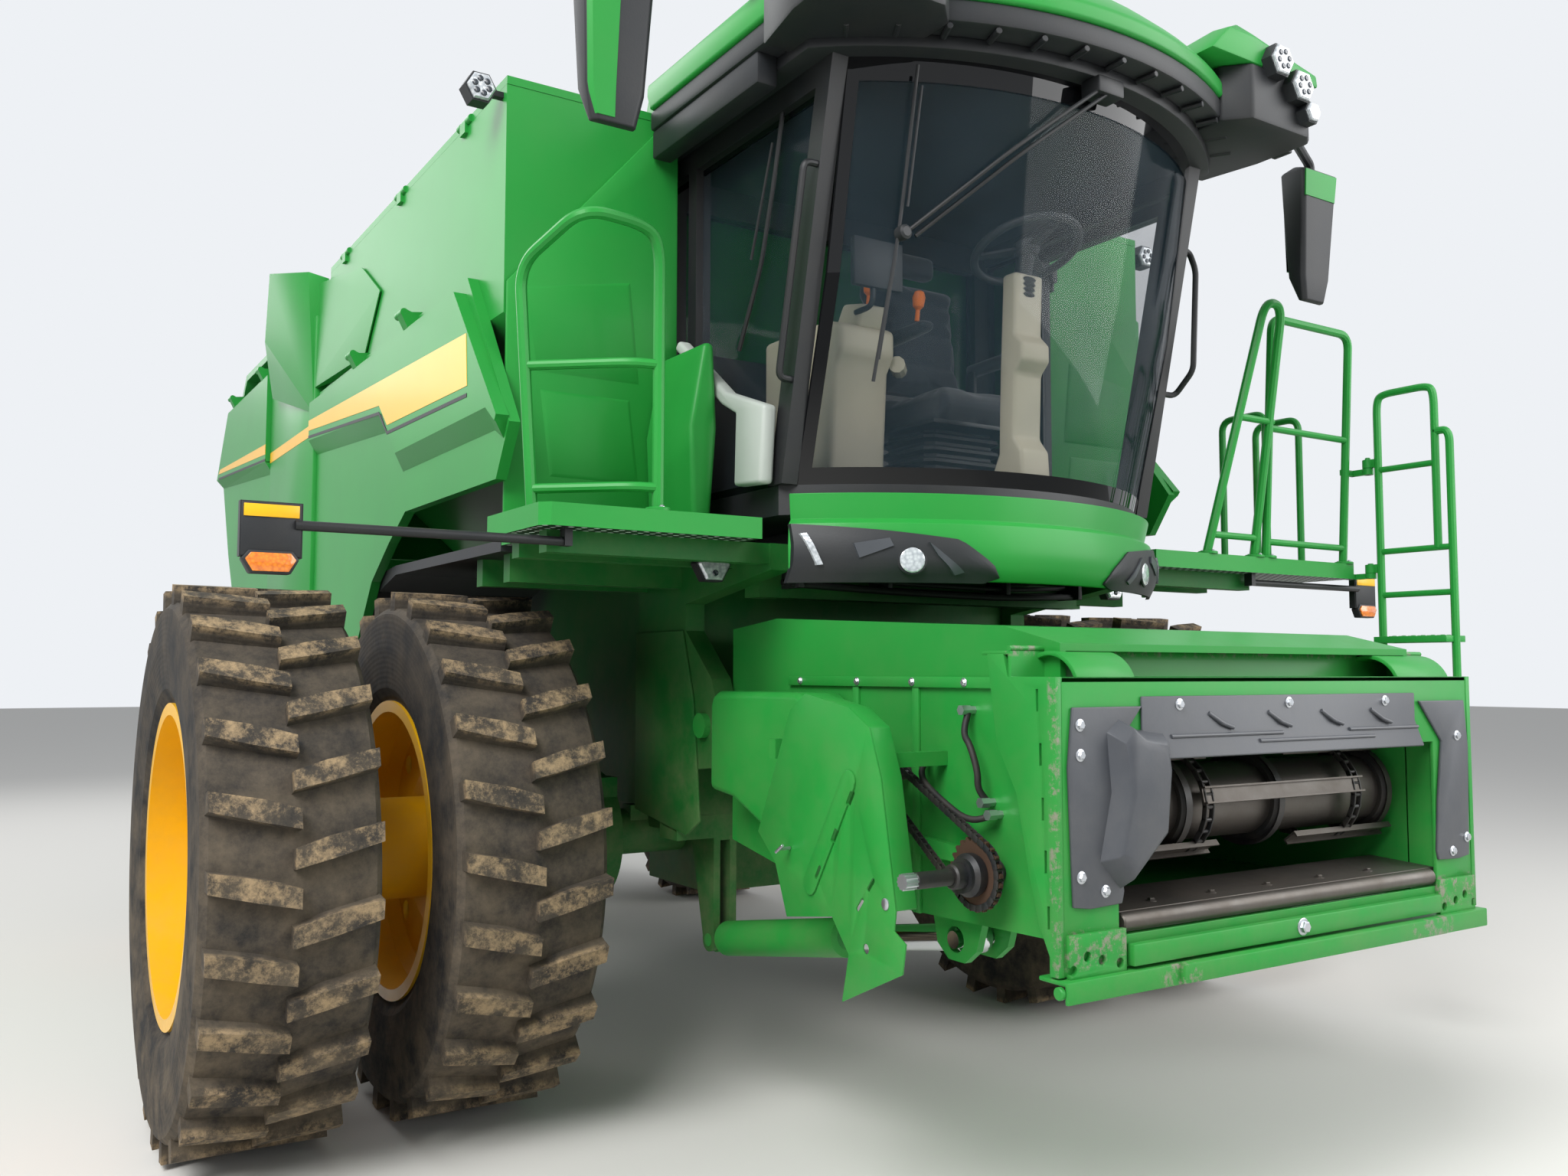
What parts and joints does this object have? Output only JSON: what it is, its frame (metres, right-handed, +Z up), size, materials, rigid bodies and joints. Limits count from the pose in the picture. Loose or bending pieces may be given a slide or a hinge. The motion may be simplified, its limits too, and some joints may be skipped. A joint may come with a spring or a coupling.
{
  "type": "combine harvester",
  "caption": "Self-propelled combine harvester with twin front wheels, steered rear axle, lifting feeder house, cab, grain tank and swinging unloading auger.",
  "frame": {"origin": "middle of the machine's bounding box, on the floor", "axes": "+X forward, +Y left, +Z up"},
  "size_m": [8.44, 5.1064, 4.0448],
  "materials": {
    "green_paint": "gloss",
    "dark_green_paint": "satin",
    "yellow_paint": "satin",
    "tyre_rubber": "matte",
    "black_plastic": "matte",
    "black_steel": "satin",
    "clear_glass": "gloss",
    "lamp_lens": "gloss",
    "seat_fabric": "woven",
    "trim_beige": "moulded",
    "engine_iron": "rough",
    "worn_steel": "worn",
    "chrome_rod": "polished"
  },
  "bodies": {
    "root": {"main_frame": "dark_green_paint", "separator_body": "dark_green_paint", "front_axle": "dark_green_paint", "rear_axle": "dark_green_paint", "engine": "engine_iron", "grain_tank": "green_paint", "rear_hood": "green_paint", "air_scoops": "green_paint", "chopper": "black_steel", "cab_base": "black_steel", "cab_skirt": "green_paint", "cab_frame": "black_steel", "cab_glass": "clear_glass", "windshield": "clear_glass", "roof_liner": "black_plastic", "roof_cap": "green_paint", "seat": "seat_fabric", "console": "trim_beige", "steering_column": "trim_beige", "wipers": "black_steel", "mirrors": "black_plastic", "lamps": "lamp_lens", "platforms": "green_paint", "handrails": "green_paint", "marker_arms": "black_steel", "wheel_arches": "black_plastic", "auger_turret": "green_paint"},
    "front_wheels_left": {"tyres_front_left": "tyre_rubber", "rims_front_left": "yellow_paint"},
    "front_wheels_right": {"tyres_front_right": "tyre_rubber", "rims_front_right": "yellow_paint"},
    "steering_knuckle_left": {"knuckle_left": "dark_green_paint"},
    "steering_knuckle_right": {"knuckle_right": "dark_green_paint"},
    "steering_tie_rod": {"tie_rod": "black_steel"},
    "rear_wheel_left": {"tyre_rear_left": "tyre_rubber", "rim_rear_left": "yellow_paint"},
    "rear_wheel_right": {"tyre_rear_right": "tyre_rubber", "rim_rear_right": "yellow_paint"},
    "feeder": {"feeder_house": "green_paint", "feeder_face": "green_paint", "feeder_conveyor": "worn_steel", "feeder_drive": "worn_steel", "feeder_guard": "green_paint"},
    "cylinder_barrels": {"lift_barrels": "green_paint"},
    "cylinder_rods": {"lift_rods": "chrome_rod"},
    "door": {"cab_door": "black_steel", "door_glass": "clear_glass"},
    "side_shield_front_left": {"shield_front_left": "green_paint"},
    "side_shield_front_right": {"shield_front_right": "green_paint"},
    "side_shield_rear_left": {"shield_rear_left": "green_paint"},
    "side_shield_rear_right": {"shield_rear_right": "green_paint"},
    "cover_left": {"tank_cover_left": "green_paint"},
    "cover_right": {"tank_cover_right": "green_paint"},
    "auger": {"unloading_auger": "green_paint"},
    "access_ladder": {"ladder": "green_paint"}
  },
  "joints": [
    {"name": "front_wheels_left_roll", "type": "hinge", "parent": "root", "child": "front_wheels_left", "pos_m": [1.5, 1.524, 0.975], "axis": [0, 1, 0], "continuous": true},
    {"name": "front_wheels_right_roll", "type": "hinge", "parent": "root", "child": "front_wheels_right", "pos_m": [1.5, -1.524, 0.975], "axis": [0, 1, 0], "continuous": true},
    {"name": "steer_left", "type": "hinge", "parent": "root", "child": "steering_knuckle_left", "pos_m": [-2.05, 1.18, 0.795], "axis": [0, 0, 1], "range_deg": [-25, 25]},
    {"name": "steer_right", "type": "hinge", "parent": "root", "child": "steering_knuckle_right", "pos_m": [-2.05, -1.18, 0.795], "axis": [0, 0, 1], "range_deg": [-25, 25]},
    {"name": "tie_rod_pivot", "type": "hinge", "parent": "steering_knuckle_left", "child": "steering_tie_rod", "pos_m": [-2.38, 1.18, 0.795], "axis": [0, 0, 1], "range_deg": [-25, 25]},
    {"name": "rear_wheel_left_roll", "type": "hinge", "parent": "steering_knuckle_left", "child": "rear_wheel_left", "pos_m": [-2.05, 1.62, 0.795], "axis": [0, 1, 0], "continuous": true},
    {"name": "rear_wheel_right_roll", "type": "hinge", "parent": "steering_knuckle_right", "child": "rear_wheel_right", "pos_m": [-2.05, -1.62, 0.795], "axis": [0, 1, 0], "continuous": true},
    {"name": "feeder_lift", "type": "hinge", "parent": "root", "child": "feeder", "pos_m": [2.35, 0, 1.45], "axis": [0, -1, 0], "range_deg": [-22, 4]},
    {"name": "barrel_pivot", "type": "hinge", "parent": "root", "child": "cylinder_barrels", "pos_m": [2.1, 0, 0.62], "axis": [0, -1, 0], "range_deg": [-18.09, 3.63]},
    {"name": "rod_slide", "type": "slide", "parent": "cylinder_barrels", "child": "cylinder_rods", "axis": [0.9849, 0, 0.173], "range_m": [-0.321, 0.0633]},
    {"name": "cab_door_swing", "type": "hinge", "parent": "root", "child": "door", "pos_m": [2.352, 0.902, 2.9], "axis": [0, 0, 1], "range_deg": [0, 80]},
    {"name": "shield_front_left_lift", "type": "hinge", "parent": "root", "child": "side_shield_front_left", "pos_m": [1, 1.7, 3.09], "axis": [1, 0, 0], "range_deg": [0, 60]},
    {"name": "shield_front_right_lift", "type": "hinge", "parent": "root", "child": "side_shield_front_right", "pos_m": [1, -1.7, 3.09], "axis": [-1, 0, 0], "range_deg": [0, 60]},
    {"name": "shield_rear_left_lift", "type": "hinge", "parent": "root", "child": "side_shield_rear_left", "pos_m": [-2.3, 1.7, 3.46], "axis": [1, 0, 0], "range_deg": [0, 60]},
    {"name": "shield_rear_right_lift", "type": "hinge", "parent": "root", "child": "side_shield_rear_right", "pos_m": [-2.3, -1.7, 3.46], "axis": [-1, 0, 0], "range_deg": [0, 60]},
    {"name": "tank_cover_left_fold", "type": "hinge", "parent": "root", "child": "cover_left", "pos_m": [0.9, 1.6, 3.735], "axis": [-1, 0, 0], "range_deg": [0, 100]},
    {"name": "tank_cover_right_fold", "type": "hinge", "parent": "root", "child": "cover_right", "pos_m": [0.9, -1.6, 3.735], "axis": [1, 0, 0], "range_deg": [0, 100]},
    {"name": "auger_swing", "type": "hinge", "parent": "root", "child": "auger", "pos_m": [1.75, 1.86, 3.4], "axis": [0, 0, -1], "range_deg": [0, 95]},
    {"name": "ladder_swing", "type": "hinge", "parent": "root", "child": "access_ladder", "pos_m": [2.94, 2.34, 2], "axis": [0, 0, -1], "range_deg": [0, 85]}
  ],
  "couplings": [
    {"joint": "steer_right", "follows": "steer_left", "ratio": 1},
    {"joint": "tie_rod_pivot", "follows": "steer_left", "ratio": -1},
    {"joint": "barrel_pivot", "follows": "feeder_lift", "ratio": 0.8032},
    {"joint": "rod_slide", "follows": "feeder_lift", "m_per_rad": 0.82044}
  ]
}
